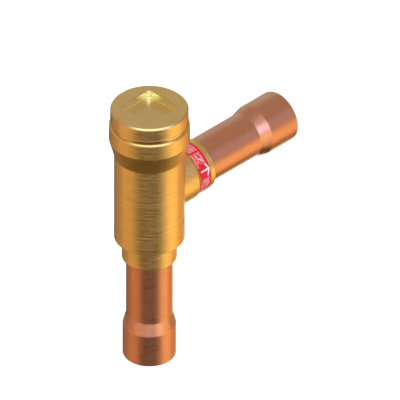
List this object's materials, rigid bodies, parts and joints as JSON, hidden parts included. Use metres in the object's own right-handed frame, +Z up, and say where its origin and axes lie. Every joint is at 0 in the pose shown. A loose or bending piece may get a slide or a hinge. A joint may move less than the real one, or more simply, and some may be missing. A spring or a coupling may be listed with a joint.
{
  "type": "refrigerant non-return valve",
  "caption": "Angle-way brass non-return valve: a spring-loaded, damped piston under a screw cap, with copper stub tubes that end in solder sockets.",
  "frame": {"origin": "centre of the inlet socket's mouth, on the valve body's axis", "axes": "+Z runs up the body's axis from the inlet mouth to the cap, +X runs along the branch to the outlet mouth, and +Y completes the frame"},
  "size_m": [0.1067, 0.0386, 0.142],
  "materials": {
    "body_brass": "brass with fine turning marks round the barrel",
    "cap_brass": "turned brass, faced on top",
    "inner_brass": "turned brass",
    "tube_copper": "drawn copper tube, slightly satin",
    "gasket_copper": "soft copper sealing ring",
    "brazing_alloy": "silver brazing alloy, as run",
    "stainless_steel": "turned stainless steel",
    "spring_steel": "drawn spring wire",
    "ptfe": "white sealing plastic, waxy",
    "label_film": "red label film with a plain white flow arrow"
  },
  "bodies": {
    "housing": {"valve_body": "body_brass", "inlet_tube": "tube_copper", "outlet_tube": "tube_copper", "inlet_braze": "brazing_alloy", "outlet_braze": "brazing_alloy", "end_cap": "cap_brass", "cap_gasket": "gasket_copper", "piston_guide": "stainless_steel", "closing_spring": "spring_steel", "flow_label": "label_film"},
    "piston_unit": {"piston": "inner_brass", "piston_ring": "ptfe", "valve_plate": "inner_brass", "seal_disc": "ptfe", "seal_retainer": "stainless_steel", "lock_washer": "spring_steel", "retainer_screw": "stainless_steel"}
  },
  "joints": [
    {"name": "piston_lift", "type": "slide", "parent": "housing", "child": "piston_unit", "axis": [0, 0, 1], "range_m": [0, 0.008], "stiffness_N_per_m": 136, "springref_m": -0.004, "deforming": ["closing_spring"]}
  ]
}
